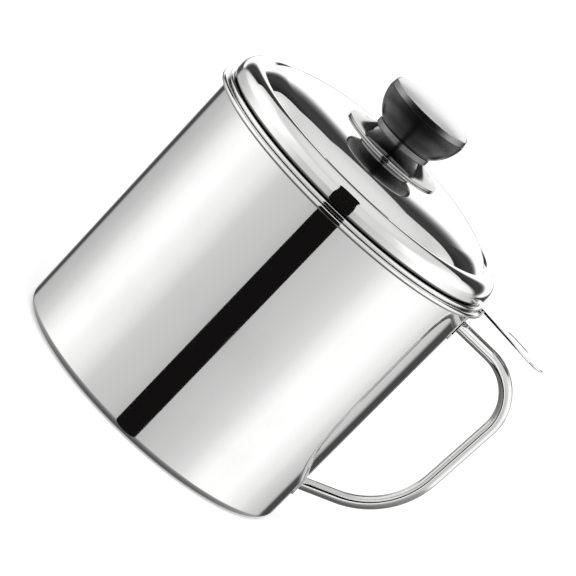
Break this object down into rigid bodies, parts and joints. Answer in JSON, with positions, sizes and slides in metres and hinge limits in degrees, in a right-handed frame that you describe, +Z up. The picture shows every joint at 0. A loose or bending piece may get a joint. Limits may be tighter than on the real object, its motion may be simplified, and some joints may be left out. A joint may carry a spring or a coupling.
{
  "type": "kitchen grease container with strainer and lid",
  "caption": "Stainless steel grease container with a rolled rim, bent-rod handle, lift-out mesh strainer with thumb tab, and a domed lid with a black turned knob.",
  "frame": {"origin": "centre of the flat base where the container stands", "axes": "+Z up along the canister's axis, +X towards the handle and the strainer's tab"},
  "size_m": [0.1589, 0.1262, 0.1507],
  "materials": {
    "polished_steel": "mirror-polished stainless steel sheet",
    "polished_rod": "polished stainless steel rod",
    "net_wire": "woven stainless steel wire",
    "black_plastic": "satin black moulded plastic",
    "screw_steel": "plain steel",
    "insert_brass": "plain brass"
  },
  "bodies": {
    "canister": {"canister_body": "polished_steel", "handle_rod": "polished_rod", "upper_handle_plate": "polished_steel", "lower_handle_plate": "polished_steel"},
    "strainer": {"strainer_cup": "polished_steel", "strainer_net": "net_wire", "strainer_clamp_ring": "polished_steel", "strainer_tab": "polished_steel"},
    "lid": {"lid_shell": "polished_steel", "knob_flare": "polished_steel", "knob_collar": "polished_steel", "knob_grip": "black_plastic", "knob_bezel": "black_plastic", "knob_cap": "polished_steel", "knob_insert": "insert_brass", "knob_washer": "screw_steel", "knob_screw": "screw_steel"}
  },
  "joints": [
    {"name": "strainer_lift", "type": "slide", "parent": "canister", "child": "strainer", "axis": [0, 0, 1], "range_m": [0, 0.07]},
    {"name": "lid_lift", "type": "slide", "parent": "strainer", "child": "lid", "axis": [0, 0, 1], "range_m": [0, 0.06]}
  ]
}
